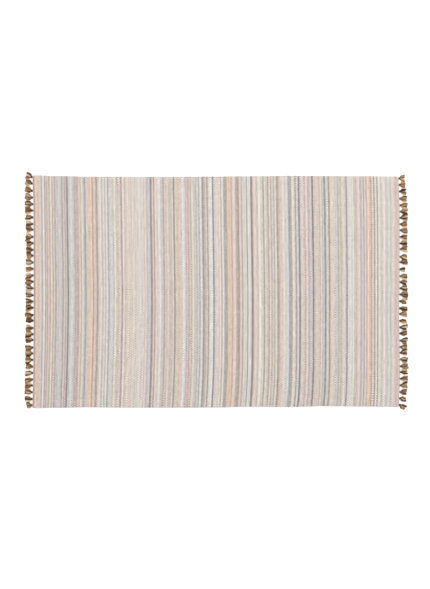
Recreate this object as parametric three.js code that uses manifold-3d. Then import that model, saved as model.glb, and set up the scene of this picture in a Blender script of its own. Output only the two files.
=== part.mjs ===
// A flat-woven cotton rug with a row of small yarn tassels along each short end.
// Millimetres, +Z up. The rug lies flat on z = 0 with its length along X, seen from above:
// +X is its right end, -X its left end, +Y its far long side and -Y its near long side.

import * as THREE from 'three';
import { mergeVertices } from 'three/addons/utils/BufferGeometryUtils.js';
import Module from 'manifold-3d';

// Driving dimensions
const RUG_WIDTH = 900; // from selvedge to selvedge
const WOVEN_LENGTH = 1428; // between the outer sides of the two heading cords
const CLOTH_THICKNESS = 5;
const CLOTH_EDGE_ROUNDING = 1.4; // how far the worn edges are rounded off
const CORNER_ROUNDING = 8;
const GAP = 0.3; // between the cloth and each heading cord
const HEADING_WIDTH = 2.4;
const HEADING_HEIGHT = 3.6;
const TASSELS_PER_END = 36;
const TASSEL_REACH = 30.5; // from the heading cord to the cut ends, on average
const TASSEL_MARGIN = 10; // from a long side of the rug to the first knot
const TASSEL_ROOT_DEPTH = 0.8; // how deep a tassel's root sits in its heading cord
const TASSEL_SIDES = 8;
const LONG_EDGE_STEPS = 44;
const SHORT_EDGE_STEPS = 24;
const CORNER_STEPS = 4;
const EDGE_ROUNDING_STEPS = 2;
const SAME_POINT = 1e-4; // corners closer than this are one corner

// Colours of the cotton and of the tassel yarn, both matt
const COTTON = 0xd6cbc2;
const TASSEL_BROWN = 0x8a6540;
const MATT = 0.95;

// How far each tassel may stray from the average, to either side
const PLACE_STRAY = 2; // mm along the edge
const LEAN_STRAY = 9; // degrees
const REACH_STRAY = 0.07; // share of the reach
const SPREAD_STRAY = 0.14; // share of the width

// How far each long edge strays outwards (+) or inwards (-), in mm, at a share of the length from the left
const LONG_EDGES = [
  { at: 0.0, far: 4.0, near: 3.6 },
  { at: 0.07, far: 1.2, near: 2.4 },
  { at: 0.15, far: -1.2, near: 0.0 },
  { at: 0.25, far: -1.1, near: 1.4 },
  { at: 0.37, far: -1.8, near: 1.6 },
  { at: 0.5, far: -0.6, near: 1.0 },
  { at: 0.6, far: 0.4, near: -1.8 },
  { at: 0.7, far: 2.4, near: -0.6 },
  { at: 0.8, far: 1.4, near: -4.2 },
  { at: 0.9, far: 0.6, near: -3.0 },
  { at: 1.0, far: -0.4, near: -1.0 },
];

// The same for the two short ends, at a share of the width from the near side
const SHORT_ENDS = [
  { at: 0.0, left: 2.7, right: -1.2 },
  { at: 0.15, left: 0.0, right: 2.3 },
  { at: 0.25, left: -1.2, right: 1.2 },
  { at: 0.42, left: -2.0, right: -0.8 },
  { at: 0.55, left: -2.0, right: 1.0 },
  { at: 0.85, left: -1.2, right: 1.2 },
  { at: 1.0, left: 2.3, right: -3.1 },
];

// A tassel from its root in the heading cord to its cut ends, lying on the floor. Where it is loose, its
// width follows how far that tassel is spread.
const TASSEL_FORM = [
  { part: 'root', at: 0.0, width: 5.0, height: 3.4, loose: 0 },
  { part: 'knot', at: 0.12, width: 8.4, height: 7.6, loose: 0 },
  { part: 'neck', at: 0.24, width: 10.5, height: 6.4, loose: 0 },
  { part: 'skirt', at: 0.46, width: 24.5, height: 7.6, loose: 1 },
  { part: 'cut ends', at: 1.0, width: 27.0, height: 5.0, loose: 1 },
];

// Tassels that stray more than the rest, counted from the near side, with the lean towards the far side
const ODD_TASSELS = [
  { end: 'left', count: 0, lean: -9, reach: 0.8, spread: 1.0 },
  { end: 'left', count: 9, lean: -6, reach: 1.0, spread: 1.0 },
  { end: 'left', count: 10, lean: 6, reach: 1.0, spread: 1.0 },
  { end: 'left', count: 16, lean: -8, reach: 1.0, spread: 1.0 },
  { end: 'left', count: 17, lean: 8, reach: 1.0, spread: 1.0 },
  { end: 'left', count: 25, lean: -4, reach: 1.0, spread: 1.0 },
  { end: 'left', count: 26, lean: 5, reach: 1.0, spread: 1.0 },
  { end: 'left', count: 32, lean: 4, reach: 1.02, spread: 1.12 },
  { end: 'left', count: 33, lean: 12, reach: 1.0, spread: 1.12 },
  { end: 'left', count: 34, lean: 20, reach: 1.0, spread: 1.12 },
  { end: 'left', count: 35, lean: 27, reach: 0.92, spread: 1.05 },
  { end: 'right', count: 0, lean: -32, reach: 0.98, spread: 0.95 },
  { end: 'right', count: 1, lean: -10, reach: 0.9, spread: 1.0 },
  { end: 'right', count: 7, lean: -7, reach: 1.0, spread: 1.0 },
  { end: 'right', count: 8, lean: 8, reach: 1.0, spread: 1.0 },
  { end: 'right', count: 20, lean: -5, reach: 1.0, spread: 1.05 },
  { end: 'right', count: 21, lean: -2, reach: 0.72, spread: 0.66 },
  { end: 'right', count: 22, lean: 8, reach: 1.0, spread: 1.0 },
  { end: 'right', count: 28, lean: -8, reach: 1.0, spread: 1.0 },
  { end: 'right', count: 29, lean: 7, reach: 1.0, spread: 1.0 },
  { end: 'right', count: 32, lean: -6, reach: 0.95, spread: 1.0 },
  { end: 'right', count: 33, lean: 5, reach: 0.9, spread: 1.0 },
  { end: 'right', count: 34, lean: 4, reach: 0.85, spread: 1.0 },
  { end: 'right', count: 35, lean: 6, reach: 0.84, spread: 1.0 },
];

const ENDS = {
  left: { outwards: -1, seed: 1 },
  right: { outwards: 1, seed: 2 },
};

const wasm = await Module();
wasm.setup();

// The value of one column between the rows of a table, eased from each row to the next
function eased(rows, at, column) {
  const after = rows.findIndex((row, i) => i > 0 && row.at >= at);
  const next = rows[after];
  const last = rows[after - 1];
  const share = (at - last.at) / (next.at - last.at);
  const ease = share * share * (3 - 2 * share);
  return last[column] + (next[column] - last[column]) * ease;
}

// A stray between -1 and 1 that is the same each time for the same tassel
function stray(count, seed, kind) {
  const turned = Math.sin(count * 12.9898 + seed * 78.233 + kind * 37.719) * 43758.5453;
  return 2 * (turned - Math.floor(turned)) - 1;
}

// Where the cloth's long edges run, and where its short ends and the headings run
const farEdge = (along) => RUG_WIDTH / 2 + eased(LONG_EDGES, along, 'far');
const nearEdge = (along) => -RUG_WIDTH / 2 - eased(LONG_EDGES, along, 'near');

// The x of a line that runs along one end, set in from the outer side of its heading cord
function endLine(end, across, inset) {
  return ENDS[end].outwards * (WOVEN_LENGTH / 2 - inset + eased(SHORT_ENDS, across, end));
}

// The y on an end for a share of the width
function acrossToY(end, across) {
  const along = end === 'left' ? 0 : 1;
  return nearEdge(along) + across * (farEdge(along) - nearEdge(along));
}

// Corner points that round off the turn from one edge to the next
function roundedCorner(corner, from, to) {
  const start = corner.clone().add(from.clone().setLength(CORNER_ROUNDING));
  const finish = corner.clone().add(to.clone().setLength(CORNER_ROUNDING));
  const turn = new THREE.QuadraticBezierCurve(start, corner, finish);
  return turn.getPoints(CORNER_STEPS);
}

// The woven cloth: one flat sheet with the rug's uneven outline and softly rounded edges
function wovenCloth() {
  const inset = HEADING_WIDTH + GAP;
  const leftX = (across) => endLine('left', across, inset);
  const rightX = (across) => endLine('right', across, inset);
  const length = WOVEN_LENGTH - 2 * inset;
  const alongX = (share) => -length / 2 + share * length;
  const sides = [
    { steps: LONG_EDGE_STEPS, point: (t) => new THREE.Vector2(alongX(t), nearEdge(t)) },
    { steps: SHORT_EDGE_STEPS, point: (t) => new THREE.Vector2(rightX(t), acrossToY('right', t)) },
    { steps: LONG_EDGE_STEPS, point: (t) => new THREE.Vector2(alongX(1 - t), farEdge(1 - t)) },
    { steps: SHORT_EDGE_STEPS, point: (t) => new THREE.Vector2(leftX(1 - t), acrossToY('left', 1 - t)) },
  ];
  const corners = [
    new THREE.Vector2(leftX(0), nearEdge(0)),
    new THREE.Vector2(rightX(0), nearEdge(1)),
    new THREE.Vector2(rightX(1), farEdge(1)),
    new THREE.Vector2(leftX(1), farEdge(0)),
  ];
  const outline = [];
  for (let side = 0; side < sides.length; side += 1) {
    const corner = corners[side];
    const last = sides[(side + 3) % 4];
    const { steps, point } = sides[side];
    const before = last.point(1 - 1 / last.steps).sub(corner);
    const after = point(1 / steps).sub(corner);
    outline.push(...roundedCorner(corner, before, after));
    for (let step = 1; step < steps; step += 1) {
      outline.push(point(step / steps));
    }
  }
  const depth = CLOTH_THICKNESS - 2 * CLOTH_EDGE_ROUNDING;
  const geometry = new THREE.ExtrudeGeometry(new THREE.Shape(outline), {
    depth,
    bevelEnabled: true,
    bevelThickness: CLOTH_EDGE_ROUNDING,
    bevelSize: CLOTH_EDGE_ROUNDING,
    bevelOffset: -CLOTH_EDGE_ROUNDING,
    bevelSegments: EDGE_ROUNDING_STEPS,
  });
  return geometry.translate(0, 0, CLOTH_EDGE_ROUNDING);
}

// The heading cord, a narrow strip that follows the cloth's end from corner to corner
function headingCord(end) {
  const points = [];
  for (let step = 0; step <= SHORT_EDGE_STEPS; step += 1) {
    const across = step / SHORT_EDGE_STEPS;
    points.push(new THREE.Vector2(endLine(end, across, 0), acrossToY(end, across)));
  }
  for (let step = SHORT_EDGE_STEPS; step >= 0; step -= 1) {
    const across = step / SHORT_EDGE_STEPS;
    points.push(new THREE.Vector2(endLine(end, across, HEADING_WIDTH), acrossToY(end, across)));
  }
  return new THREE.ExtrudeGeometry(new THREE.Shape(points), { depth: HEADING_HEIGHT, bevelEnabled: false });
}

// One ring round a tassel: an oval that stands on the floor, square to the way the tassel points
function tasselRing(centre, sideways, width, height) {
  const ring = [];
  const lowest = Math.sin(Math.PI / 2 - Math.PI / TASSEL_SIDES);
  for (let corner = 0; corner < TASSEL_SIDES; corner += 1) {
    const turn = ((corner + 0.5) / TASSEL_SIDES) * Math.PI * 2;
    const out = (width / 2) * Math.cos(turn);
    const rise = height * ((Math.sin(turn) + lowest) / (2 * lowest));
    ring.push(new THREE.Vector3(centre.x + sideways.x * out, centre.y + sideways.y * out, rise));
  }
  return ring;
}

// A closed skin over a row of rings, with a flat face over the first ring and the last
function skinOver(rings) {
  const positions = [];
  const triangle = (a, b, c) => positions.push(...a, ...b, ...c);
  for (let i = 0; i + 1 < rings.length; i += 1) {
    for (let k = 0; k < TASSEL_SIDES; k += 1) {
      const next = (k + 1) % TASSEL_SIDES;
      triangle(rings[i][k], rings[i][next], rings[i + 1][next]);
      triangle(rings[i][k], rings[i + 1][next], rings[i + 1][k]);
    }
  }
  const first = rings[0];
  const last = rings[rings.length - 1];
  for (let k = 1; k + 1 < TASSEL_SIDES; k += 1) {
    triangle(first[0], first[k + 1], first[k]);
    triangle(last[0], last[k], last[k + 1]);
  }
  const geometry = new THREE.BufferGeometry();
  geometry.setAttribute('position', new THREE.Float32BufferAttribute(positions, 3));
  return geometry;
}

// One tassel, from inside its heading cord out over the floor
function tassel(end, count) {
  const { outwards, seed } = ENDS[end];
  const odd = ODD_TASSELS.find((row) => row.end === end && row.count === count);
  const margin = TASSEL_MARGIN / RUG_WIDTH;
  const across = margin + (count / (TASSELS_PER_END - 1)) * (1 - 2 * margin);
  const place = acrossToY(end, across) + PLACE_STRAY * stray(count, seed, 1);
  const lean = THREE.MathUtils.degToRad(odd ? odd.lean : LEAN_STRAY * stray(count, seed, 2));
  const reach = TASSEL_REACH * (odd ? odd.reach : 1 + REACH_STRAY * stray(count, seed, 3));
  const spread = odd ? odd.spread : 1 + SPREAD_STRAY * stray(count, seed, 4);
  const root = new THREE.Vector2(endLine(end, across, TASSEL_ROOT_DEPTH), place);
  const points = new THREE.Vector2(outwards * Math.cos(lean), Math.sin(lean));
  const sideways = new THREE.Vector2(-points.y, points.x);
  const rings = TASSEL_FORM.map((row) => {
    const centre = root.clone().addScaledVector(points, reach * row.at);
    const width = row.width * (1 + (spread - 1) * row.loose);
    return tasselRing(centre, sideways, width, row.height);
  });
  return skinOver(rings);
}

// A closed mesh with its shared corners merged, as a solid that can be joined to others
function asSolid(geometry) {
  const bare = geometry.index ? geometry.toNonIndexed() : geometry.clone();
  bare.deleteAttribute('normal');
  bare.deleteAttribute('uv');
  const merged = mergeVertices(bare, SAME_POINT);
  const vertProperties = new Float32Array(merged.attributes.position.array);
  const triVerts = new Uint32Array(merged.index.array);
  return new wasm.Manifold(new wasm.Mesh({ numProp: 3, vertProperties, triVerts }));
}

function asGeometry(solid) {
  const { vertProperties, triVerts, numProp } = solid.getMesh();
  const positions = new Float32Array((vertProperties.length / numProp) * 3);
  for (let i = 0; i < positions.length / 3; i += 1) {
    positions.set(vertProperties.subarray(i * numProp, i * numProp + 3), i * 3);
  }
  const geometry = new THREE.BufferGeometry();
  geometry.setAttribute('position', new THREE.BufferAttribute(positions, 3));
  geometry.setIndex(new THREE.BufferAttribute(new Uint32Array(triVerts), 1));
  geometry.computeVertexNormals();
  return geometry;
}

// The fringe of one end: its heading cord and all its tassels, joined into one comb
function fringe(end) {
  let comb = asSolid(headingCord(end));
  for (let count = 0; count < TASSELS_PER_END; count += 1) {
    comb = comb.add(asSolid(tassel(end, count)));
  }
  return asGeometry(comb);
}

function named(name, geometry, colour) {
  const material = new THREE.MeshStandardMaterial({ color: colour, roughness: MATT, metalness: 0 });
  const mesh = new THREE.Mesh(geometry, material);
  mesh.name = name;
  return mesh;
}

const rug = new THREE.Group();
rug.add(named('woven_cloth', wovenCloth(), COTTON));
rug.add(named('fringe_left', fringe('left'), TASSEL_BROWN));
rug.add(named('fringe_right', fringe('right'), TASSEL_BROWN));

// The frame's origin lies on the floor under the middle of the whole rug
const middle = new THREE.Box3().setFromObject(rug).getCenter(new THREE.Vector3());
rug.position.set(-middle.x, -middle.y, 0);

export default rug;
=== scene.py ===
# %% [markdown]
# # A flat-woven rug with tasselled ends
#
# This lesson rebuilds one thin striped rug that lies on a pale floor and is seen from straight
# above. A measured model of it comes first and fixes where everything lies: one sheet of cloth
# and a fringe at each end. Blender then adds what the eye reads as a rug, which is the weave,
# the yarns and the strands of the tassels, in the same place and in metres.

import math
import random

import bpy
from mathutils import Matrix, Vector, noise


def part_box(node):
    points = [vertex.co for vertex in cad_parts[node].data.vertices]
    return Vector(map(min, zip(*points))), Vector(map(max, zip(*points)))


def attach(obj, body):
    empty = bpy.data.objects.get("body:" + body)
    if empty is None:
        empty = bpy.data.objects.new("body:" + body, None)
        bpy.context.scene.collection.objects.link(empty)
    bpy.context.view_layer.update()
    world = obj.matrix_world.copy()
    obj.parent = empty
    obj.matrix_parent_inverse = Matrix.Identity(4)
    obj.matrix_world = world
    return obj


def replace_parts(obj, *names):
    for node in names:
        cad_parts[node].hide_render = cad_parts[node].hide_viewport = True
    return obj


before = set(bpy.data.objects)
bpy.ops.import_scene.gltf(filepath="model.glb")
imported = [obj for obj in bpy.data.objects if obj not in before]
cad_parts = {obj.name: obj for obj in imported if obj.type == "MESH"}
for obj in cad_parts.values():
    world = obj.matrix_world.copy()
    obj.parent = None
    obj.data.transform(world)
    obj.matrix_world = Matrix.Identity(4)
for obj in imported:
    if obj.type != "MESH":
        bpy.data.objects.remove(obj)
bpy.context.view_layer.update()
print("measured nodes:", ", ".join(sorted(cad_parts)))

# %% [markdown]
# ## The rug's own sizes
#
# The measured model was drawn from a few lengths and short tables, and the cloth made here has
# to follow the same outline to a fraction of a millimetre. Tracing the measured mesh would give
# its coarse corners back, so the same lengths and tables are written again, in millimetres.

# %% Lengths of the cloth and the headings
MM = 0.001
RUG_WIDTH = 900.0
WOVEN_LENGTH = 1428.0
CLOTH_THICKNESS = 5.0
CORNER_ROUNDING = 8.0
GAP = 0.3
HEADING_WIDTH = 2.4
print("the rug is", RUG_WIDTH, "by", WOVEN_LENGTH, "mm without its tassels")

# %% The outline of the cloth
# How far each long edge strays outwards, at a share of the length from the left end
LONG_EDGES = [
    {"at": 0.0, "far": 4.0, "near": 3.6},
    {"at": 0.07, "far": 1.2, "near": 2.4},
    {"at": 0.15, "far": -1.2, "near": 0.0},
    {"at": 0.25, "far": -1.1, "near": 1.4},
    {"at": 0.37, "far": -1.8, "near": 1.6},
    {"at": 0.5, "far": -0.6, "near": 1.0},
    {"at": 0.6, "far": 0.4, "near": -1.8},
    {"at": 0.7, "far": 2.4, "near": -0.6},
    {"at": 0.8, "far": 1.4, "near": -4.2},
    {"at": 0.9, "far": 0.6, "near": -3.0},
    {"at": 1.0, "far": -0.4, "near": -1.0},
]

# The same for the two short ends, at a share of the width from the near side
SHORT_ENDS = [
    {"at": 0.0, "left": 2.7, "right": -1.2},
    {"at": 0.15, "left": 0.0, "right": 2.3},
    {"at": 0.25, "left": -1.2, "right": 1.2},
    {"at": 0.42, "left": -2.0, "right": -0.8},
    {"at": 0.55, "left": -2.0, "right": 1.0},
    {"at": 0.85, "left": -1.2, "right": 1.2},
    {"at": 1.0, "left": 2.3, "right": -3.1},
]
OUTWARDS = {"left": -1, "right": 1}
print("the outline has", len(LONG_EDGES), "places along the rug and", len(SHORT_ENDS), "across")

# %% Helpers that follow the outline
def ease(share):
    """A soft start and a soft stop between 0 and 1."""
    share = min(max(share, 0.0), 1.0)
    return share * share * (3 - 2 * share)


def eased(rows, at, column):
    """One column of a table, eased from each row to the next."""
    for before, after in zip(rows, rows[1:]):
        if at <= after["at"]:
            break
    share = (at - before["at"]) / (after["at"] - before["at"])
    return before[column] + (after[column] - before[column]) * ease(share)


def far_edge(along):
    """The y of the far long edge at a share of the length."""
    return RUG_WIDTH / 2 + eased(LONG_EDGES, along, "far")


def near_edge(along):
    """The y of the near long edge at a share of the length."""
    return -RUG_WIDTH / 2 - eased(LONG_EDGES, along, "near")


def end_line(end, across, inset):
    """The x of a line along one end, set in from the outer side of its heading."""
    return OUTWARDS[end] * (WOVEN_LENGTH / 2 - inset + eased(SHORT_ENDS, across, end))


print("half-way along, the rug is", round(far_edge(0.5) - near_edge(0.5), 1), "mm wide")

# %% [markdown]
# ## The yarns and the weaver's plan
#
# The rug is woven from left to right in thin stripes, most of them only one to five picks
# wide, in pale cotton yarns that a few darker lines set off. A noise texture would give stripes
# of this kind, but not these stripes. So the plan is charted as a weaver would write it: the
# yarns by name, and for each band of the cloth the yarns in their order with their number
# of picks. A pick is one crossing of the weft.

# %% The yarns, as they look in daylight
YARNS = {
    "ivory": (237, 230, 215),
    "white": (233, 232, 228),
    "cream": (226, 217, 201),
    "shell": (233, 219, 213),
    "pearl": (207, 206, 204),
    "mist": (214, 218, 214),
    "lilac": (213, 204, 208),
    "blush": (225, 206, 198),
    "pink": (222, 193, 188),
    "rose": (179, 145, 138),
    "clay": (198, 176, 168),
    "peach": (234, 206, 184),
    "biscuit": (214, 193, 174),
    "apricot": (203, 153, 120),
    "sand": (218, 205, 185),
    "beige": (209, 198, 187),
    "tan": (182, 162, 143),
    "stone": (188, 182, 175),
    "taupe": (165, 154, 147),
    "mauve": (191, 175, 178),
    "sage": (197, 199, 186),
    "khaki": (185, 177, 156),
    "olive": (150, 144, 125),
    "steel": (155, 163, 168),
    "smoke": (137, 129, 127),
    "slate": (112, 116, 118),
    "charcoal": (98, 92, 88),
}


def in_linear_light(colour):
    """A daylight colour from 0 to 255 as a shader wants it, by the usual screen curve."""
    shares = [part / 255 for part in colour]
    return [s / 12.92 if s <= 0.04045 else ((s + 0.055) / 1.055) ** 2.4 for s in shares]


print(len(YARNS), "yarns")

# %% The order of the yarns, with a semicolon between two bands of the cloth
WEAVING_PLAN = """
rose 1, apricot 1, pink 2, peach 2, shell 1, peach 1, sand 4, blush 3, mauve 3, white 4, taupe
2, blush 2, rose 2, blush 3, khaki 3, ivory 3, tan 2, beige 1, shell 2, taupe 3, lilac 3;
pearl 5, lilac 4, taupe 3, blush 2, mauve 2, lilac 2, taupe 1, charcoal 2, smoke 1, mist 8,
pearl 3, beige 1, taupe 2, mauve 2, clay 5, blush 3;
khaki 2, ivory 3, pearl 1, stone 2, steel 3, lilac 2, beige 3, peach 7, apricot 3, blush 4,
mauve 1, taupe 4, blush 4, white 3, sage 4;
white 2, mauve 2, lilac 1, white 3, steel 3, mist 4, pearl 4, sage 2, ivory 3, beige 7, blush
3, stone 1, taupe 3, shell 4;
beige 3, sand 3, cream 4, shell 3, clay 2, ivory 5, sage 3, shell 6, mist 5, shell 2, peach 1,
shell 1, clay 2, white 3, pearl 1;
mauve 3, lilac 3, white 1, steel 1, slate 3, taupe 1, shell 2, rose 3, shell 4, beige 2, white
5, pearl 3, beige 2, taupe 3, blush 3, beige 2, blush 3;
beige 5, stone 2, shell 2, pearl 1, smoke 3, beige 2, sand 4, biscuit 4, blush 4, white 3,
mist 4, mauve 2, pink 2, rose 1, clay 2, blush 3, olive 1, khaki 1;
sage 1, ivory 3, sage 4, stone 3, mist 3, steel 3, white 4, taupe 1, smoke 3, stone 3, blush
3, olive 3, white 8, slate 3;
pearl 4, blush 1, shell 3, beige 2, shell 3, khaki 3, white 3, taupe 1, steel 3, tan 4, sand
4, peach 3, apricot 3, blush 1, shell 4, pearl 1, tan 4;
olive 3, taupe 1, blush 4, taupe 2, sage 1, cream 2, sand 2, white 2, mist 1, slate 2, mist 1,
white 5, mauve 1, charcoal 3, olive 1, blush 1, peach 2, shell 2, clay 1, blush 1, beige 3,
ivory 5;
mist 4, pearl 1, olive 3, ivory 3, beige 3, taupe 3, shell 3, tan 3, mist 3, khaki 3, ivory 3,
olive 3, tan 1, clay 3, blush 4, shell 3;
cream 4, mist 5, steel 4, taupe 4, ivory 1, white 3, sand 2, taupe 1, smoke 2, white 1, white
2, mauve 1, charcoal 3, stone 1, pearl 1, shell 3, beige 3, clay 3, shell 4;
rose 1, mauve 3, lilac 4, taupe 1, charcoal 3, lilac 1, beige 3, blush 2, sand 5, tan 2, shell
3, mauve 2, pearl 2, steel 1, slate 3, mist 4, khaki 1, olive 3, blush 2, sand 1;
blush 3, cream 4, stone 2, pearl 3, stone 3, sage 2, khaki 3, cream 5, pearl 2, lilac 2, smoke
3, mist 1, lilac 2, white 4, pearl 3, ivory 3, beige 3;
clay 3, blush 1, shell 4, beige 1, mauve 4, white 2, taupe 3, shell 3, clay 2, sand 1, peach
6, rose 3, shell 3, olive 3, white 3, taupe 3;
ivory 4, sage 4, shell 6, pearl 4, sage 2, mist 4, beige 4, shell 3, blush 3, clay 4, blush 1,
shell 2
"""
print("the plan has", WEAVING_PLAN.count(";") + 1, "bands")

# %% Read the plan
def read_plan(plan):
    """Each band as its first pick, its number of picks, and its stripes as (first pick, yarn)."""
    bands = []
    pick = 0
    for line in plan.split(";"):
        first = pick
        stripes = []
        for entry in line.split(","):
            yarn, picks = entry.split()
            stripes.append((pick, yarn))
            pick += int(picks)
        bands.append({"first": first, "picks": pick - first, "stripes": stripes})
    return bands, pick


BANDS, PICKS = read_plan(WEAVING_PLAN)
STRIPE_STARTS = {first for band in BANDS for first, yarn in band["stripes"]}
print(len(STRIPE_STARTS), "stripes in", PICKS, "picks")

# %% [markdown]
# ## Where each pick runs
#
# On a real rug the picks are never quite straight: beaten in by hand, they bow a little towards
# one end near the two selvedges, and the stripes bow with them. Bending a finished flat cloth
# would do it, but it also bends the outline. So each column of the mesh is one pick, and a short
# table says how far it drifts along the rug at the far and the near selvedge. At the two ends
# the picks follow the end of the cloth instead.

# %% The drift of the picks
# In mm at each selvedge, and how late the bow starts (1 is evenly from the middle)
DRIFTS = [
    {"at": 0.0, "far": -6.4, "far_bend": 1.0, "near": -9.6, "near_bend": 1.7},
    {"at": 0.25, "far": -6.4, "far_bend": 1.0, "near": -9.8, "near_bend": 1.7},
    {"at": 0.45, "far": -6.4, "far_bend": 1.0, "near": -9.2, "near_bend": 3.6},
    {"at": 0.73, "far": -6.8, "far_bend": 1.1, "near": -9.6, "near_bend": 6.0},
    {"at": 0.87, "far": -4.8, "far_bend": 2.2, "near": -6.8, "near_bend": 8.0},
    {"at": 0.94, "far": -4.4, "far_bend": 3.5, "near": -4.0, "near_bend": 8.0},
    {"at": 1.0, "far": -2.2, "far_bend": 3.0, "near": -2.0, "near_bend": 6.0},
]
END_BLEND = 0.05
CLOTH_INSET = HEADING_WIDTH + GAP


def pick_drift(along, across):
    """How far a pick strays along the rug, in mm."""
    side = "far" if across > 0.5 else "near"
    outwards = abs(2 * across - 1)
    return eased(DRIFTS, along, side) * outwards ** eased(DRIFTS, along, side + "_bend")


def cloth_x(along, across):
    """The x of the pick at a share of the length, at a share of the width."""
    left = end_line("left", 0.5, CLOTH_INSET)
    right = end_line("right", 0.5, CLOTH_INSET)
    near_left = ease(1 - along / END_BLEND)
    near_right = ease(1 - (1 - along) / END_BLEND)
    drift = pick_drift(along, across) * (1 - near_left - near_right)
    drift += near_left * (end_line("left", across, CLOTH_INSET) - left)
    drift += near_right * (end_line("right", across, CLOTH_INSET) - right)
    return left + along * (right - left) + drift


def cloth_y(along, across):
    """The y of a point of the cloth, by shares of its length and its width."""
    return near_edge(along) + across * (far_edge(along) - near_edge(along))


WARP_PITCH = 4.7
PICK_PITCH = (cloth_x(1, 0.5) - cloth_x(0, 0.5)) / PICKS
print("a pick every", round(PICK_PITCH, 3), "mm, a warp every", WARP_PITCH, "mm")

# %% [markdown]
# ## One small class for materials
#
# Materials here are sums: a pick number, a warp number, how far a point is from the middle of a
# stitch. Placing nodes one by one hides those sums. The class below wraps a socket, so that
# `1 - hollow * 0.4` adds the Math nodes by itself, and one method adds any other node.

# %% Sums on sockets
class Wire:
    """An output socket of a material; sums on wires add the nodes that work them out."""

    def __init__(self, tree, socket=None):
        self.tree = tree
        self.socket = socket

    def node(self, kind, settings, values, output=0):
        """Any node: first its settings, then the values or links of its sockets."""
        made = self.tree.nodes.new(kind)
        for setting, value in settings.items():
            if setting == "stops":
                set_stops(made.color_ramp, value)
            elif setting == "blend":
                made.color_ramp.interpolation = value
            else:
                setattr(made, setting, value)
        for name, value in values.items():
            socket = made.inputs[name]
            if isinstance(value, Wire):
                self.tree.links.new(value.socket, socket)
            else:
                socket.default_value = value
        return Wire(self.tree, made.outputs[output])

    def other(self, output):
        """Another output of the same node."""
        return Wire(self.tree, self.socket.node.outputs[output])

    def maths(self, operation, first, second=0.0):
        """One Math node with its one or two values."""
        return self.node("ShaderNodeMath", {"operation": operation}, {0: first, 1: second})

    def __add__(self, value):
        return self.maths("ADD", self, value)

    def __radd__(self, value):
        return self.maths("ADD", value, self)

    def __sub__(self, value):
        return self.maths("SUBTRACT", self, value)

    def __rsub__(self, value):
        return self.maths("SUBTRACT", value, self)

    def __mul__(self, value):
        return self.maths("MULTIPLY", self, value)

    def __rmul__(self, value):
        return self.maths("MULTIPLY", value, self)

    def __truediv__(self, value):
        return self.maths("DIVIDE", self, value)

    def __mod__(self, value):
        return self.maths("FLOORED_MODULO", self, value)

    def __pow__(self, value):
        return self.maths("POWER", self, value)

    def __gt__(self, value):
        return self.maths("GREATER_THAN", self, value)

    def __abs__(self):
        return self.maths("ABSOLUTE", self)

    def floor(self):
        return self.maths("FLOOR", self)

    def at_least(self, value):
        return self.maths("MAXIMUM", self, value)

    def at_most(self, value):
        return self.maths("MINIMUM", self, value)

    def sine(self):
        return self.maths("SINE", self)


def set_stops(ramp, stops):
    """Give a colour ramp its stops, each a place from 0 to 1 and a colour."""
    while len(ramp.elements) < len(stops):
        ramp.elements.new(1.0)
    for element, (place, colour) in zip(ramp.elements, stops):
        element.position = place
        element.color = [*colour, 1.0]


print("wires ready")

# %% [markdown]
# ## What all the yarns share
#
# Cotton yarn is matt, catches a little soft light on its loose fibres, and never has quite one
# colour: the dye takes unevenly along it. Each finish below starts from the same plain shader
# with these fixed values, and then gets its own colour and its own relief.

# %% A plain yarn finish to build on
SHINE = 0.15
SHEEN_ROUGHNESS = 0.6
MIXED_COLOUR = 2


def new_finish(name, roughness, sheen):
    """A material with fixed matt values, and a first wire to build its sums from."""
    material = bpy.data.materials.new(name)
    material.use_nodes = True
    shader = material.node_tree.nodes["Principled BSDF"]
    shader.inputs["Roughness"].default_value = roughness
    shader.inputs["Specular IOR Level"].default_value = SHINE
    shader.inputs["Sheen Weight"].default_value = sheen
    shader.inputs["Sheen Roughness"].default_value = SHEEN_ROUGHNESS
    return material, Wire(material.node_tree)


def use_finish(material, colour, height, relief):
    """Lead a colour and a height from 0 to 1 into the material; relief is in metres."""
    nodes = material.node_tree.nodes
    shader = nodes["Principled BSDF"]
    wire = Wire(material.node_tree)
    normal = wire.node("ShaderNodeBump", {}, {"Distance": relief, "Height": height})
    material.node_tree.links.new(colour.socket, shader.inputs["Base Color"])
    material.node_tree.links.new(normal.socket, shader.inputs["Normal"])
    print("finish", material.name, "has", len(nodes), "nodes")


def mixed(share, first, second):
    """One colour or the other, by a share from 0 to 1."""
    made = share.node("ShaderNodeMix", {"data_type": "RGBA"}, {}, MIXED_COLOUR)
    node = made.socket.node
    for name, value in {"Factor_Float": share, "A_Color": first, "B_Color": second}.items():
        socket = next(s for s in node.inputs if s.identifier == name)
        if isinstance(value, Wire):
            share.tree.links.new(value.socket, socket)
        else:
            socket.default_value = value
    return made


def shaded(colour, amount):
    """A colour made lighter or darker by an amount that may change over the surface."""
    values = {0: colour, "Scale": amount}
    return amount.node("ShaderNodeVectorMath", {"operation": "SCALE"}, values)


# %% [markdown]
# ## The weave
#
# In this flat weave the coloured weft hides the warp. Each pick passes over every second warp
# and under the others, and the next pick does the opposite, so what shows is a brickwork of small
# rounded stitches, one warp wide and two picks long. That is why a thin line in one colour looks
# dotted, and why the border between two stripes has little teeth. The cloth's own map counts
# picks one way and warps the other, so the brickwork is a short sum and the plan is a look-up.

# %% Find the stitch that shows at a point
weave_finish, wire = new_finish("striped_weave", roughness=0.95, sheen=0.08)
place = wire.node("ShaderNodeUVMap", {"uv_map": "weave"}, {})
pick_place = wire.node("ShaderNodeSeparateXYZ", {}, {0: place})
warp_place = pick_place.other("Y")

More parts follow.
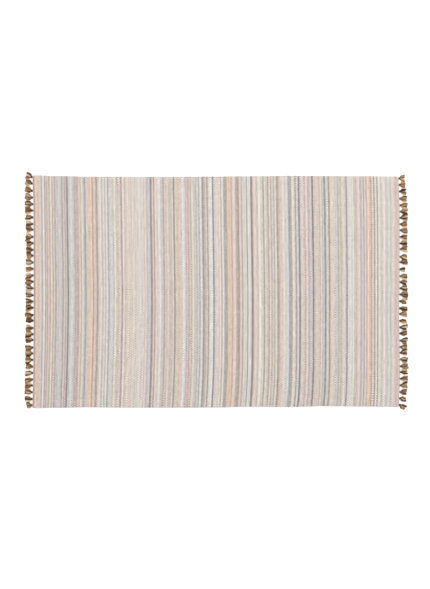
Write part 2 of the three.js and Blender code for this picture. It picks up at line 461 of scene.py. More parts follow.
warp = warp_place.floor()
odd = warp % 2
pair = (pick_place + odd + 0.5) / 2
pick = pair.floor() * 2 - odd
along_stitch = pair % 1
across_stitch = warp_place % 1
print("a point finds its stitch through", len(weave_finish.node_tree.nodes), "nodes")

# %% Look the stitch's yarn up in the plan
def yarn_ramp(yarns, blend, value):
    """Yarns by their place from 0 to 1, as a colour ramp that is read at a value."""
    stops = [(place, in_linear_light(colour)) for place, colour in yarns]
    return value.node("ShaderNodeValToRGB", {"stops": stops, "blend": blend}, {0: value})


def yarn_of(pick):
    """The plan as a chain of colour ramps, one for each band, that meet where bands do."""
    colour = None
    for band in BANDS:
        yarns = []
        for first, yarn in band["stripes"]:
            yarns.append(((first - band["first"]) / band["picks"], YARNS[yarn]))
        inside = (pick + (0.5 - band["first"])) / band["picks"]
        ramp = yarn_ramp(yarns, "CONSTANT", inside)
        colour = ramp if colour is None else mixed(inside > 0.0, colour, ramp)
    return colour


dyed = yarn_of(pick)
print("the plan is a chain of", len(BANDS), "ramps")

# %% Noise and chance for the sums
def noise_at(x, y, detail):
    """Soft noise from 0 to 1 at a place given by two wires."""
    where = wire.node("ShaderNodeCombineXYZ", {}, {"X": x, "Y": y})
    values = {"Vector": where, "Scale": 1.0, "Detail": detail, "Roughness": 0.6}
    return wire.node("ShaderNodeTexNoise", {"noise_dimensions": "2D"}, values)


def chance_at(x, y):
    """An even chance from 0 to 1 for each pair of whole numbers."""
    where = wire.node("ShaderNodeCombineXYZ", {}, {"X": x, "Y": y})
    return wire.node("ShaderNodeTexWhiteNoise", {"noise_dimensions": "2D"}, {"Vector": where})


# %% Let the dye and the yarn vary, and paint raised stitches lighter and sunken ones darker
# Noise is read a few units apart for each yarn, so that neighbours don't look alike
PICKS_PER_SLUB, SLUB_STEP, SLUB_LENGTH = 2, 3.73, 0.5
PICKS_PER_YARN, YARN_STEP, YARN_LENGTH = 3, 7.31, 0.12
PICKS_PER_DOT, FAINTEST_DOT = 4, 0.4
# The chances of whole picks and of dots are read from a row each
PICK_ROW, DOT_ROW = 0, 7
PATCH_LENGTH, PATCH_WIDTH = 0.04, 0.07
PATCH_CONTRAST, PATCH_START = 4, 1.3
FAINTEST_PATCH, STRONGEST_PATCH = 0.1, 1.4
FIBRE_LENGTH, FIBRE_WIDTH = 5.5, 2.2
stitch_chance = chance_at(pick, warp)
pick_chance = chance_at(pick, PICK_ROW)
# Painted light and shade: raised stitches lighter, sunken ones darker, in a patchy checker
dot_column = (pick / PICKS_PER_DOT).floor()
dot_light_and_shade = (dot_column + odd) % 2 * 2 - 1
patch_noise = noise_at(pick_place * PATCH_LENGTH, warp_place * PATCH_WIDTH, 1.0)
patches = (patch_noise * PATCH_CONTRAST - PATCH_START).at_least(FAINTEST_PATCH)
patches = patches.at_most(STRONGEST_PATCH)
dot_strength = chance_at(dot_column, DOT_ROW) + FAINTEST_DOT
patchy_dot_light_and_shade = dot_light_and_shade * patches * dot_strength
yarn_place = (pick / PICKS_PER_YARN).floor() * YARN_STEP
along_yarn = noise_at(yarn_place, warp_place * YARN_LENGTH, 2.0)
slub_place = (pick / PICKS_PER_SLUB).floor() * SLUB_STEP
slubs = noise_at(slub_place, warp_place * SLUB_LENGTH, 2.0)
fibres = noise_at(pick_place * FIBRE_LENGTH, warp_place * FIBRE_WIDTH, 3.0)
print("one dot is", PICKS_PER_DOT, "picks long and a warp wide")

# %% [markdown]
# A real stitch is a short bundle of twisted threads that dives under a warp at each end, and the
# gap it leaves is in shade. Modelling every stitch would take millions of faces, so the stitch is
# a low dome in the relief, with painted shade where the dome ends and a painted highlight on the
# slanting threads across it.

# %% Round each stitch, twist its threads and paint shade into the gaps
THREADS, SLANT = 3, 1.6
LONG_ROUNDING, CROSS_ROUNDING = 2, 3
DOME_REACH = 1.8
long_way = 1 - abs(along_stitch * 2 - 1) ** LONG_ROUNDING
cross_way = 1 - abs(across_stitch * 2 - 1) ** CROSS_ROUNDING
dome = (long_way * cross_way) ** 0.5
# Painted shade in the gaps, where the dome of a stitch ends
hollow = (1 - dome * DOME_REACH).at_least(0.0)
# The twist is relief, and also a painted highlight on each thread
twist = ((along_stitch * THREADS + across_stitch * SLANT) * math.tau).sine() * 0.5 + 0.5
print("stitches are rounded, with", THREADS, "threads in each")

# %% [markdown]
# The colour of a stitch is its dyed yarn, marled with some undyed cotton, and made lighter or
# darker by uneven yarn and dye, by painted shade in the gaps, by a painted highlight on the
# twisted threads and by the painted light and shade of the dots. A painted texture could hold the
# same, but it would be a picture; a sum stays sharp at any distance, and each part of it can be
# turned up or down by one number.

# %% Add it all up
NATURAL = [*in_linear_light((208, 195, 188)), 1.0]
LEAST_NATURAL, MORE_NATURAL = 0.27, 0.16
PLAIN_BRIGHTNESS = 0.814
# Painted shade in the gaps and a painted highlight on the twist
HOLLOW_SHADE = 0.27
TWIST_PAINTED_HIGHLIGHT = 0.05
# How strong the painted light and shade of the dots is
DOT_LIGHT_AND_SHADE = 0.14
UNEVENNESS = [
    (stitch_chance, 0.14),
    (slubs, 0.26),
    (pick_chance, 0.05),
    (along_yarn, 0.2),
    (fibres, 0.08),
]
# Painted shade in the gaps and a painted highlight on the twist, then uneven yarn and dye
tone_and_painted_light = PLAIN_BRIGHTNESS - hollow * HOLLOW_SHADE + twist * TWIST_PAINTED_HIGHLIGHT
for chance, contrast in UNEVENNESS:
    tone_and_painted_light = tone_and_painted_light + (chance - 0.5) * contrast
# The painted light and shade of raised and sunken stitches
tone_and_painted_light = tone_and_painted_light + patchy_dot_light_and_shade * DOT_LIGHT_AND_SHADE
marled = mixed(LEAST_NATURAL + stitch_chance * MORE_NATURAL, dyed, NATURAL)

STITCH_RELIEF = 0.9
DOME_SHARE, TWIST_SHARE, FIBRE_SHARE = 0.8, 0.14, 0.06
relief = dome * DOME_SHARE + twist * TWIST_SHARE + fibres * FIBRE_SHARE
use_finish(weave_finish, shaded(marled, tone_and_painted_light), relief, STITCH_RELIEF * MM)

# %% [markdown]
# ## The cloth
#
# The cloth is one sheet about five millimetres thick with soft round selvedges. A plane with a
# thickness modifier would have square edges, so the top and the underside are two grids that
# share their outermost points. Each column of the grid is a pick. The top dips slightly where
# one stripe meets the next, because the yarns differ in thickness, and rises and falls a little
# over the width of a hand, as cloth does on a floor.

# %% Columns and rows of the cloth
EDGE_STEPS = [0.0, 0.35, 1.1, 2.5]
ROWS_BETWEEN = 40
EDGE_RADIUS = CLOTH_THICKNESS / 2
STRIPE_DIP = 0.3
# The slow rise and fall of the top, in mm, which dies away towards the edges
SWELL_LENGTH, SWELL_WIDTH = 150, 110
SWELL_HEIGHT, SWELL_SINK = 0.5, 0.2
NOISE_SLICE = 0.5
CALM_WIDTH = 12
COLUMNS = [0.0, 0.18, 0.5, *range(1, PICKS), PICKS - 0.5, PICKS - 0.18, float(PICKS)]
print(len(COLUMNS), "columns, closer together at the two ends")

# %% The rounding of the edges and the dip between stripes
def corner_cut(from_end):
    """How far the round corner pulls in a selvedge at a distance from the end, in mm."""
    if from_end >= CORNER_ROUNDING:
        return 0.0
    return CORNER_ROUNDING * (1 - math.sqrt(from_end / CORNER_ROUNDING)) ** 2


def row_shares(width):
    """The rows over a column as shares of its width, closer together at the two selvedges."""
    near = [step / width for step in EDGE_STEPS]
    inner = 1 - 2 * near[-1]
    between = [near[-1] + inner * row / ROWS_BETWEEN for row in range(1, ROWS_BETWEEN)]
    return near + between + [1 - share for share in reversed(near)]


def edge_height(inwards):
    """The height of the round edge over its middle line, at a distance inwards."""
    short = EDGE_RADIUS - min(inwards, EDGE_RADIUS)
    return math.sqrt(max(EDGE_RADIUS**2 - short**2, 0.0))


def stripe_dip(pick):
    """The top dips where a stripe starts."""
    return STRIPE_DIP if pick in STRIPE_STARTS else 0.0


print("a corner starts", corner_cut(0.0), "mm in, and a stripe dips by", STRIPE_DIP, "mm")

# %% Points of the cloth
def cloth_column(pick):
    """The top points, the underside's points and the map of one column."""
    along = pick / PICKS
    from_end = min(pick, PICKS - pick) * PICK_PITCH
    near = cloth_y(along, 0.0) + corner_cut(from_end)
    far = cloth_y(along, 1.0) - corner_cut(from_end)
    top, under, places = [], [], []
    for share in row_shares(far - near):
        y = near + share * (far - near)
        whole = (y - cloth_y(along, 0.0)) / (cloth_y(along, 1.0) - cloth_y(along, 0.0))
        x = cloth_x(along, whole)
        inwards = min(from_end, y - near, far - y)
        height = edge_height(inwards)
        calm = ease(inwards / CALM_WIDTH)
        spot = Vector((x / SWELL_LENGTH, y / SWELL_WIDTH, NOISE_SLICE))
        swell = noise.noise(spot) * SWELL_HEIGHT - SWELL_SINK
        lift = (swell - stripe_dip(pick)) * calm
        top.append((x, y, EDGE_RADIUS + height + lift))
        under.append((x, y, EDGE_RADIUS - height))
        places.append((pick, (y + RUG_WIDTH / 2) / WARP_PITCH))
    return top, under, places


columns = [cloth_column(pick) for pick in COLUMNS]
rows = len(columns[0][0])
print(len(columns), "columns and", rows, "rows")

# %% [markdown]
# The formulas are drawn round their own middle, while the measured rug lies round the middle of
# the whole rug, tassels included. Comparing the two boxes of the cloth gives the small step
# between them, and every later piece takes the same step.

# %% Step from the formulas to the measured rug
def box_middle(low, high):
    """The middle of a box between two of its corners."""
    return (Vector(low) + Vector(high)) / 2


drawn = [Vector(point) for column in columns for point in column[0]]
drawn_low = Vector([min(point[i] for point in drawn) for i in range(3)])
drawn_high = Vector([max(point[i] for point in drawn) for i in range(3)])
STEP = box_middle(*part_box("woven_cloth")) / MM - box_middle(drawn_low, drawn_high)
STEP.z = 0.0
print("step to the measured rug:", [round(part, 2) for part in STEP], "mm")


def placed(point):
    """A point in mm as a point of the scene in metres."""
    return (Vector(point) + STEP) * MM


# %% [markdown]
# ## Turning points into pieces
#
# Every piece here is a list of points, a list of faces and a map. One helper turns them into a
# smooth mesh with its finish and rides it on the rug's only body.

# %% A helper that makes a piece
def make_piece(name, points, faces, maps, map_name, finish, slot):
    """A smooth mesh piece; maps holds one place for each corner of each face, in order."""
    mesh = bpy.data.meshes.new(name)
    mesh.from_pydata(points, [], faces)
    corner_map = mesh.uv_layers.new(name=map_name)
    corner_map.data.foreach_set("uv", [part for place in maps for part in place])
    mesh.materials.append(finish)
    mesh.shade_smooth()
    mesh.update()
    piece = bpy.data.objects.new(name, mesh)
    bpy.context.scene.collection.objects.link(piece)
    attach(piece, "root")
    triangles = sum(len(face) - 2 for face in faces)
    print(name, "has", triangles, "triangles")
    return piece


# %% Stitch the cloth's columns together
def cloth_faces():
    """All points, faces and map places of the cloth, closed along its shared outline."""
    points, faces, maps = [], [], []
    top_at, under_at = {}, {}
    last_column, last_row = len(columns) - 1, rows - 1
    for i, (top, under, places) in enumerate(columns):
        for j in range(rows):
            top_at[i, j] = len(points)
            points.append(placed(top[j]))
            on_outline = i in (0, last_column) or j in (0, last_row)
            under_at[i, j] = top_at[i, j] if on_outline else len(points)
            if not on_outline:
                points.append(placed(under[j]))
    for i in range(last_column):
        for j in range(last_row):
            ring = [(i, j), (i + 1, j), (i + 1, j + 1), (i, j + 1)]
            faces.append([top_at[spot] for spot in ring])
            maps.extend(columns[a][2][b] for a, b in ring)
            ring.reverse()
            faces.append([under_at[spot] for spot in ring])
            maps.extend(columns[a][2][b] for a, b in ring)
    return points, faces, maps


cloth = make_piece("cloth", *cloth_faces(), "weave", weave_finish, "woven_stripes")
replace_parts(cloth, "woven_cloth")

# %% [markdown]
# ## Tubes of yarn
#
# Headings, knots and strands are all yarn, and yarn is a tube along a path. A curve with a bevel
# would make one too, but thousands of curves are slow, and a mesh keeps a value for each strand.
# This helper adds one closed tube to a growing list of points and faces, with its own map: once
# round the yarn one way, and along it in millimetres the other way.

# %% A tube along a path
NEARLY_UPRIGHT = 0.05


class YarnHeap:
    """Points, faces and values of many tubes that become one piece."""

    def __init__(self):
        self.points, self.faces, self.maps = [], [], []
        self.dyes, self.shades = [], []

    def tube(self, path, radii, sides, dye, shades):
        """Add a closed tube; dye picks its yarn, and shades are painted shade that darkens it on
        its way.
        """
        first = len(self.points)
        length = 0.0
        lengths = []
        for i, centre in enumerate(path):
            before, after = path[max(i - 1, 0)], path[min(i + 1, len(path) - 1)]
            forward = (after - before).normalized()
            sideways = forward.cross(Vector((0, 0, 1)))
            if sideways.length < NEARLY_UPRIGHT:
                sideways = forward.cross(Vector((0, 1, 0)))
            sideways.normalize()
            upwards = sideways.cross(forward)
            length += (centre - path[max(i - 1, 0)]).length
            lengths.append(length)
            for side in range(sides):
                turn = math.tau * side / sides
                out = sideways * math.cos(turn) + upwards * math.sin(turn)
                self.points.append(placed(centre + out * radii[i]))
                self.dyes.append(dye)
                self.shades.append(shades[i])
        for i in range(len(path) - 1):
            for side in range(sides):
                start, low = first + i * sides, (side + 1) % sides
                after = start + sides
                self.faces.append([start + side, start + low, after + low, after + side])
                for turn, spot in ((side, i), (side + 1, i), (side + 1, i + 1), (side, i + 1)):
                    self.maps.append((turn / sides, lengths[spot]))
        end = first + (len(path) - 1) * sides
        self.faces.append([first + side for side in reversed(range(sides))])
        self.faces.append([end + side for side in range(sides)])
        self.maps.extend([(0.5, 0.0)] * sides)
        self.maps.extend([(0.5, length)] * sides)

    def piece(self, name, finish, slot):
        """Make the heap one mesh piece, with its dyes and painted shades as values of its points.
        """
        made = make_piece(name, self.points, self.faces, self.maps, "yarn", finish, slot)
        for value_name, values in (("dye", self.dyes), ("shade", self.shades)):
            point_values = made.data.attributes.new(value_name, "FLOAT", "POINT")
            point_values.data.foreach_set("value", values)
        return made


# %% [markdown]
# ## The finish of the tassels
#
# The tassels are tied from brown yarns of several shades, from nearly black through olive and
# rust to a pale tan, and each strand is dyed one shade along its whole length. A noise texture
# would run across the strands, so every strand carries a number of its own that picks its shade
# from a ramp. The yarn is two threads twisted together, which shows as slanting ridges in the
# relief, with painted shade in the grooves and a painted highlight on the ridges.

# %% Brown yarns for the tassels
TASSEL_YARNS = [
    (0.0, (60, 38, 22)),
    (0.14, (92, 62, 36)),
    (0.3, (134, 97, 56)),
    (0.46, (158, 128, 82)),
    (0.6, (176, 126, 100)),
    (0.7, (192, 154, 110)),
    (0.86, (224, 196, 156)),
]
YARN_TURNS_PER_MM = 0.45
YARN_RELIEF = 0.3
FUZZ_SCALE = 900.0
# Painted shade in the grooves of the twist and a painted highlight on its ridges
GROOVE_PAINTED_SHADE, RIDGE_PAINTED_HIGHLIGHT = 0.8, 0.28
SMOOTH_LIGHT, FUZZ_LIGHT = 0.85, 0.3
RIDGE_SHARE, FUZZ_SHARE = 0.8, 0.2
tassel_finish, wire = new_finish("tassel_yarn", roughness=0.9, sheen=0.08)


def twisted_ridges(turns_per_mm):
    """The slanting ridges of two threads twisted together, from 0 to 1."""
    place = wire.node("ShaderNodeUVMap", {"uv_map": "yarn"}, {})
    around = wire.node("ShaderNodeSeparateXYZ", {}, {0: place})
    return ((around * 2 + around.other("Y") * turns_per_mm) * math.tau).sine() * 0.5 + 0.5


def point_value(name):
    """A value that the mesh keeps for each of its points."""
    return wire.node("ShaderNodeAttribute", {"attribute_name": name}, {}, "Fac")


strand_colour = yarn_ramp(TASSEL_YARNS, "CONSTANT", point_value("dye"))
ridges = twisted_ridges(YARN_TURNS_PER_MM)
fuzz = wire.node("ShaderNodeTexNoise", {}, {"Scale": FUZZ_SCALE, "Detail": 2.0})
# Painted shade from the knot and the grooves, a painted highlight on the ridges, and fuzz
painted_shade_and_fuzz = point_value("shade") * (GROOVE_PAINTED_SHADE + ridges * RIDGE_PAINTED_HIGHLIGHT)
painted_shade_and_fuzz = painted_shade_and_fuzz * (SMOOTH_LIGHT + fuzz * FUZZ_LIGHT)
strand_relief = ridges * RIDGE_SHARE + fuzz * FUZZ_SHARE
use_finish(tassel_finish, shaded(strand_colour, painted_shade_and_fuzz), strand_relief, YARN_RELIEF * MM)

# %% [markdown]
# ## The tassels
#
# Each end of the rug has a row of thirty-six tassels. A bundle of yarn leaves the heading, is
# wrapped into a small hard knot, and opens into a short bushy skirt with cut ends. Particle hair
# would be the quick way, but it doesn't survive as a mesh, and it can't be wrapped. So a tassel
# is five locks of fourteen strands and a few turns of wrapping. The strands of a lock have
# nearly one shade and stay together, which gives the skirt its light and dark streaks and its
# ragged end. A short table gives the bundle's width and height on its way, the same as in the
# measured model; loose tells where a tassel's own spread counts, which is only in its skirt.

# %% The form of a tassel
TASSELS_PER_END = 36
TASSEL_REACH = 30.5
TASSEL_MARGIN = 10.0
TASSEL_ROOT_DEPTH = 0.8
TASSEL_FORM = [
    {"at": 0.0, "width": 5.0, "height": 3.4, "loose": 0},
    {"at": 0.12, "width": 8.4, "height": 7.6, "loose": 0},
    {"at": 0.24, "width": 10.5, "height": 6.4, "loose": 0},
    {"at": 0.46, "width": 24.5, "height": 7.6, "loose": 1},
    {"at": 1.0, "width": 27.0, "height": 5.0, "loose": 1},
]
print(TASSELS_PER_END, "tassels at each end, about", TASSEL_REACH, "mm long")

# %% Tassels that stray more than the rest
# Counted from the near side; lean is in degrees towards the far side
ODD_TASSELS = [
    {"end": "left", "count": 0, "lean": -9.0, "reach": 0.8, "spread": 1.0},
    {"end": "left", "count": 9, "lean": -6.0, "reach": 1.0, "spread": 1.0},
    {"end": "left", "count": 10, "lean": 6.0, "reach": 1.0, "spread": 1.0},
    {"end": "left", "count": 16, "lean": -8.0, "reach": 1.0, "spread": 1.0},
    {"end": "left", "count": 17, "lean": 8.0, "reach": 1.0, "spread": 1.0},
    {"end": "left", "count": 25, "lean": -4.0, "reach": 1.0, "spread": 1.0},
    {"end": "left", "count": 26, "lean": 5.0, "reach": 1.0, "spread": 1.0},
    {"end": "left", "count": 32, "lean": 4.0, "reach": 1.02, "spread": 1.12},
    {"end": "left", "count": 33, "lean": 12.0, "reach": 1.0, "spread": 1.12},
    {"end": "left", "count": 34, "lean": 20.0, "reach": 1.0, "spread": 1.12},
    {"end": "left", "count": 35, "lean": 27.0, "reach": 0.92, "spread": 1.05},
    {"end": "right", "count": 0, "lean": -32.0, "reach": 0.98, "spread": 0.95},
    {"end": "right", "count": 1, "lean": -10.0, "reach": 0.9, "spread": 1.0},
    {"end": "right", "count": 7, "lean": -7.0, "reach": 1.0, "spread": 1.0},
    {"end": "right", "count": 8, "lean": 8.0, "reach": 1.0, "spread": 1.0},
    {"end": "right", "count": 20, "lean": -5.0, "reach": 1.0, "spread": 1.05},
    {"end": "right", "count": 21, "lean": -2.0, "reach": 0.72, "spread": 0.66},
    {"end": "right", "count": 22, "lean": 8.0, "reach": 1.0, "spread": 1.0},
    {"end": "right", "count": 28, "lean": -8.0, "reach": 1.0, "spread": 1.0},
    {"end": "right", "count": 29, "lean": 7.0, "reach": 1.0, "spread": 1.0},
    {"end": "right", "count": 32, "lean": -6.0, "reach": 0.95, "spread": 1.0},
    {"end": "right", "count": 33, "lean": 5.0, "reach": 0.9, "spread": 1.0},
    {"end": "right", "count": 34, "lean": 4.0, "reach": 0.85, "spread": 1.0},
    {"end": "right", "count": 35, "lean": 6.0, "reach": 0.84, "spread": 1.0},
]
print(len(ODD_TASSELS), "tassels are charted one by one")

# %% Small strays for the others
PLACE_STRAY = 2.0
LEAN_STRAY = 9.0
REACH_STRAY = 0.07
SPREAD_STRAY = 0.14
SEEDS = {"left": 1, "right": 2}
# Uneven steps that scatter the strays, the same as in the measured model
COUNT_STEP, SEED_STEP, KIND_STEP = 12.9898, 78.233, 37.719
SCATTER = 43758.5453


def stray(count, seed, kind):
    """A stray from -1 to 1 that is the same each time for the same tassel."""
    turned = math.sin(count * COUNT_STEP + seed * SEED_STEP + kind * KIND_STEP) * SCATTER
    return 2 * (turned - math.floor(turned)) - 1


print("the others lean by up to", LEAN_STRAY, "degrees")

# %% One tassel
def across_to_y(end, across):
    """The y of a point of one end, at a share of the width from the near side."""
    along = 0.0 if end == "left" else 1.0
    return near_edge(along) + across * (far_edge(along) - near_edge(along))


class Tassel:
    """Where one tassel starts, which way it points and how wide it is on its way."""

    def __init__(self, end, count):
        seed = SEEDS[end]
        margin = TASSEL_MARGIN / RUG_WIDTH
        across = margin + count / (TASSELS_PER_END - 1) * (1 - 2 * margin)
        usual = {
            "lean": LEAN_STRAY * stray(count, seed, 2),
            "reach": 1 + REACH_STRAY * stray(count, seed, 3),
            "spread": 1 + SPREAD_STRAY * stray(count, seed, 4),
        }
        odd = [row for row in ODD_TASSELS if (row["end"], row["count"]) == (end, count)]
        form = odd[0] if odd else usual
        place = across_to_y(end, across) + PLACE_STRAY * stray(count, seed, 1)
        self.root = Vector((end_line(end, across, TASSEL_ROOT_DEPTH), place, 0))
        angle = math.radians(form["lean"])
        self.forward = Vector((OUTWARDS[end] * math.cos(angle), math.sin(angle), 0))
        self.sideways = Vector((-self.forward.y, self.forward.x, 0))
        self.reach = TASSEL_REACH * form["reach"]
        self.spread = form["spread"]

    def point(self, at, out, rise, radius):
        """A point of the bundle; out and rise go from -1 to 1 over its width and height."""
        station = min(at, 1.0)
        height = eased(TASSEL_FORM, station, "height")
        width = eased(TASSEL_FORM, station, "width")
        width *= 1 + (self.spread - 1) * eased(TASSEL_FORM, station, "loose")
        aside = (width / 2 - radius) * out
        up = Vector((0, 0, radius + (height - 2 * radius) * (0.5 + 0.5 * rise)))
        return self.root + self.forward * (self.reach * at) + self.sideways * aside + up


# %% [markdown]
# A lock is a sheaf of strands, laid out like the seeds of a sunflower so that they fill it evenly.
# In the knot they are tight and in shade, and past it each one sways its own way and ends where
# it was cut. Copies of one strand would be quicker, but the skirt would look combed. So every
# strand draws its own strays, in one order and from one seed for each end of the rug, and the
# tassels still come out the same each time.

# %% How strands lie in a lock
LOCKS = 5
STRANDS_PER_LOCK = 14
LOCK_SPREAD = 0.85
LOCK_HALF_WIDTH = 0.3
LOCK_HALF_HEIGHT = 0.5
LOCK_STRAY = 4.8
LAYER_STRAY = 0.6
LOCK_REACH_STRAY = (-0.13, 0.06)
STRAND_REACH_STRAY = (-0.05, 0.04)
STRAND_DYE_STRAY = 0.1
LOOSE_FROM, LOOSE_OVER = 0.3, 0.6
BEND, CURL = 0.6, 0.6
WAVE_HEIGHT, WAVES = 0.5, 7
STRAND_SIDES = 4
STRAND_STATIONS = [0.0, 0.07, 0.14, 0.24, 0.36, 0.5, 0.66, 0.83, 1.0]
STRAND_RADII = [0.4, 0.45, 0.5, 0.5, 0.6, 0.72, 0.8, 0.8, 0.62]
# Painted shade along each strand, darkest in the knot and lightest at the cut ends
STRAND_PAINTED_SHADES = [0.75, 0.68, 0.66, 0.68, 0.82, 0.96, 1.03, 1.06, 1.06]
GOLDEN_TURN = math.pi * (3 - math.sqrt(5))
print(LOCKS * STRANDS_PER_LOCK, "strands to a tassel")

# %% A lock of strands
def add_lock(heap, tassel, chance, lock, start):
    """A lock of strands of nearly one shade that leave the knot together."""
    middle = (2 * (lock + 0.5) / LOCKS - 1) * LOCK_SPREAD
    layer = chance.uniform(-LAYER_STRAY, LAYER_STRAY)
    shade = ((lock * 2 + start) % LOCKS + chance.uniform(0.0, 1.0)) / LOCKS
    lock_reach = 1 + chance.uniform(*LOCK_REACH_STRAY)
    lock_stray = LOCK_STRAY * chance.uniform(-1, 1)
    for strand in range(STRANDS_PER_LOCK):
        out_share = math.sqrt((strand + 0.5) / STRANDS_PER_LOCK)
        turn = strand * GOLDEN_TURN
        out = middle + LOCK_HALF_WIDTH * out_share * math.cos(turn)
        rise = max(min(layer + LOCK_HALF_HEIGHT * out_share * math.sin(turn), 1.0), -1.0)
        length = lock_reach + chance.uniform(*STRAND_REACH_STRAY)
        bend, curl = chance.uniform(-1, 1), chance.uniform(-1, 1)
        phase = chance.uniform(0, math.tau)
        path = []
        for at, radius in zip(STRAND_STATIONS, STRAND_RADII):
            loose = ease((at - LOOSE_FROM) / LOOSE_OVER)
            wave = WAVE_HEIGHT * math.sin(phase + at * WAVES)
            sway = loose * (lock_stray + BEND * bend + wave)
            point = tassel.point(at * length, out, rise, radius) + tassel.sideways * sway
            point.z = max(point.z + curl * loose * CURL, radius)
            path.append(point)
        stray_dye = chance.uniform(-STRAND_DYE_STRAY, STRAND_DYE_STRAY)
        dye = min(max(shade + stray_dye, 0.0), 1.0)
        heap.tube(path, STRAND_RADII, STRAND_SIDES, dye, STRAND_PAINTED_SHADES)


# %% Wrapping of the knot
WRAP_TURNS = 3
WRAP_STEPS = 12
WRAP_RADIUS = 0.75
WRAP_SIDES = 5
# Painted shade on the wrapping, which lies in the knot
WRAP_PAINTED_SHADE = 0.75
WRAP_LIGHTEST_DYE = 0.45
WRAP_FROM, WRAP_LENGTH = 0.08, 0.15


def add_wrapping(heap, tassel, chance):
    """The knot: a few turns of dark yarn round the bundle."""
    steps = WRAP_TURNS * WRAP_STEPS
    path = []
    for step in range(steps + 1):
        turn = math.tau * step / WRAP_STEPS
        at = WRAP_FROM + WRAP_LENGTH * step / steps
        path.append(tassel.point(at, math.cos(turn), math.sin(turn), WRAP_RADIUS))
    dye = chance.uniform(0.0, WRAP_LIGHTEST_DYE)
    stations = len(path)
    heap.tube(path, [WRAP_RADIUS] * stations, WRAP_SIDES, dye, [WRAP_PAINTED_SHADE] * stations)


print("a knot is", WRAP_TURNS, "turns of yarn")

# %% All tassels of both ends
def make_tassels(end):
    """All tassels of one end as one piece."""
    chance = random.Random(SEEDS[end])
    heap = YarnHeap()
    for count in range(TASSELS_PER_END):
        tassel = Tassel(end, count)
        start = chance.randrange(LOCKS)
        for lock in range(LOCKS):
            add_lock(heap, tassel, chance, lock, start)
        add_wrapping(heap, tassel, chance)
    piece = heap.piece("tassels_" + end, tassel_finish, "tassel_yarn")
    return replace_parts(piece, "fringe_" + end)


tassels = [make_tassels(end) for end in ("left", "right")]

# %% [markdown]
# ## The headings
#
# A pale cord closes each end of the cloth, so that the last picks can't slip off, and the tassels
# are tied into it. It is two threads twisted together, so its section is an oval with two low
# bulges that turn as it goes. A plain round tube would miss the twist at the rug's very edge.

# %% The finish of the headings
CORD_COTTON = [(0.3, (214, 192, 176)), (0.7, (236, 218, 204))]
CORD_TURNS_PER_MM = 0.9
CORD_FUZZ_SCALE = 700.0
# Painted shade in the grooves and a painted highlight on the ridges of the twist
CORD_GROOVE_PAINTED_SHADE, CORD_RIDGE_PAINTED_HIGHLIGHT = 0.93, 0.1
heading_finish, wire = new_finish("heading_cord", roughness=0.92, sheen=0.1)
cord_ridges = twisted_ridges(CORD_TURNS_PER_MM)
cord_fuzz = wire.node("ShaderNodeTexNoise", {}, {"Scale": CORD_FUZZ_SCALE, "Detail": 2.0})
cord_cotton = yarn_ramp(CORD_COTTON, "LINEAR", cord_fuzz)
# Painted shade in the grooves of the twist and a painted highlight on its ridges
cord_colour = shaded(cord_cotton, CORD_GROOVE_PAINTED_SHADE + cord_ridges * CORD_RIDGE_PAINTED_HIGHLIGHT)
use_finish(heading_finish, cord_colour, cord_ridges, YARN_RELIEF * MM)

# %% The shape of the headings
HEADING_HEIGHT = 3.6
HEADING_STEPS = 900
HEADING_SIDES = 10
HEADING_TURN_LENGTH = 9.0
BULGE = 0.1


def make_heading(end):
    """A twisted cord from one corner of the rug's end to the other."""
    points, faces, maps = [], [], []
    for step in range(HEADING_STEPS + 1):
        across = step / HEADING_STEPS
        x = end_line(end, across, HEADING_WIDTH / 2)
        y = across_to_y(end, across)
        twist = math.tau * across * RUG_WIDTH / HEADING_TURN_LENGTH
        for side in range(HEADING_SIDES):
            turn = math.tau * side / HEADING_SIDES
            swell = (1 + BULGE * math.cos(2 * turn - twist)) / (1 + BULGE)
            out = HEADING_WIDTH / 2 * swell * math.cos(turn)
            up = HEADING_HEIGHT / 2 * (1 + swell * math.sin(turn))
            points.append(placed((x + out, y, up)))
    for step in range(HEADING_STEPS):
        for side in range(HEADING_SIDES):
            start, low = step * HEADING_SIDES, (side + 1) % HEADING_SIDES
            after = start + HEADING_SIDES
            faces.append([start + side, after + side, after + low, start + low])
            ring = [(side, step), (side, step + 1), (side + 1, step + 1), (side + 1, step)]
            for turn, spot in ring:
                maps.append((turn / HEADING_SIDES, spot * RUG_WIDTH / HEADING_STEPS))
    last = HEADING_STEPS * HEADING_SIDES
    faces.append(list(range(HEADING_SIDES)))
    faces.append([last + side for side in reversed(range(HEADING_SIDES))])
    maps.extend([(0.5, 0.0)] * (2 * HEADING_SIDES))
    piece = make_piece("heading_" + end, points, faces, maps, "yarn", heading_finish, "tassel_yarn")
    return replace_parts(piece, "fringe_" + end)


headings = [make_heading(end) for end in ("left", "right")]

# %% [markdown]
# ## The headings and tassels together
#
# The rug is one flat sheet that lies on the floor, and its headings and tassels go with it. Its
# flat size is the size it was woven to, between the two headings. Here they are only put together
# in one list, which nothing uses.

headings + tassels

# %% [markdown]
# ## Floor, light and camera
#
# The rug lies on a plain white floor, photographed from straight above through a long lens, in
# light so even that it casts no shadow to speak of. One lamp would throw a hard shadow, so a
# bright even surrounding does most of the work, and a wide soft lamp over the far side gives the
# tassels and the weave a little form.

# %% The floor
FLOOR_HALF = 6.0
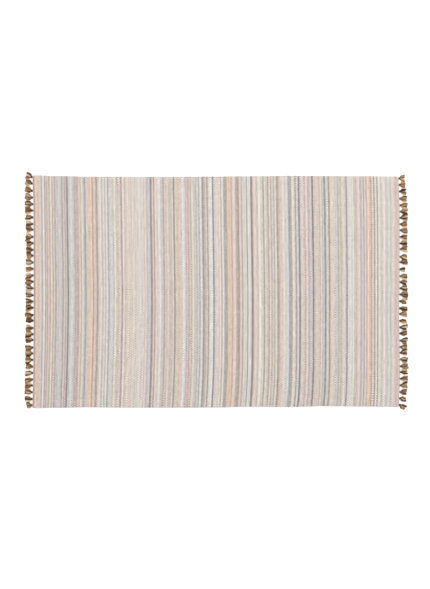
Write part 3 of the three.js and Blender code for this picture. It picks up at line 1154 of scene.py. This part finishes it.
# A hair under the rug, so that the two surfaces never share a place
FLOOR_DROP = -0.0004
FLOOR_SHADES = [(0.0, (0.93, 0.93, 0.93)), (1.0, (0.95, 0.95, 0.95))]
corners = [(-1, -1), (1, -1), (1, 1), (-1, 1)]
floor_points = [(a * FLOOR_HALF, b * FLOOR_HALF, FLOOR_DROP) for a, b in corners]
floor_mesh = bpy.data.meshes.new("floor")
floor_mesh.from_pydata(floor_points, [], [range(4)])
floor = bpy.data.objects.new("floor", floor_mesh)
bpy.context.scene.collection.objects.link(floor)
floor_finish, wire = new_finish("pale_floor", roughness=1.0, sheen=0.0)
grain = wire.node("ShaderNodeTexNoise", {}, {"Scale": 3.0, "Detail": 1.0})
floor_colour = wire.node("ShaderNodeValToRGB", {"stops": FLOOR_SHADES}, {0: grain})
use_finish(floor_finish, floor_colour, grain, 0.01 * MM)
floor_mesh.materials.append(floor_finish)
print("the floor is", 2 * FLOOR_HALF, "m wide")

# %% The light
SKY_STRENGTH = 0.9
LAMP_SIZE = 3.0
LAMP_POWER = 80.0
LAMP_PLACE = (0.5, 1.2, 3.4)
surroundings = bpy.data.worlds.new("even_light")
surroundings.use_nodes = True
sky = surroundings.node_tree.nodes["Background"]
sky.inputs["Color"].default_value = (1.0, 1.0, 1.0, 1.0)
sky.inputs["Strength"].default_value = SKY_STRENGTH
bpy.context.scene.world = surroundings

lamp_data = bpy.data.lights.new("soft_lamp", "AREA")
lamp_data.shape = "RECTANGLE"
lamp_data.size, lamp_data.size_y = LAMP_SIZE, LAMP_SIZE
lamp_data.energy = LAMP_POWER
lamp = bpy.data.objects.new("soft_lamp", lamp_data)
lamp.location = LAMP_PLACE
lamp.rotation_euler = (-lamp.location).to_track_quat("-Z", "Y").to_euler()
bpy.context.scene.collection.objects.link(lamp)
print("one lamp of", LAMP_SIZE, "m under an even sky")

# %% The camera
SENSOR = 36.0
LENS = 85.0
PICTURE_HEIGHT = 589
MM_PER_PIXEL = 3.9
AIM = (-0.0046, -0.0130)
camera_data = bpy.data.cameras.new("camera")
camera_data.lens = LENS
camera_data.sensor_width = SENSOR
camera = bpy.data.objects.new("camera", camera_data)
camera.location = (*AIM, PICTURE_HEIGHT * MM_PER_PIXEL * MM * LENS / SENSOR)
bpy.context.scene.collection.objects.link(camera)
bpy.context.scene.camera = camera
bpy.context.scene.view_settings.view_transform = "Standard"
print("the camera hangs", round(camera.location.z, 2), "m over the floor")
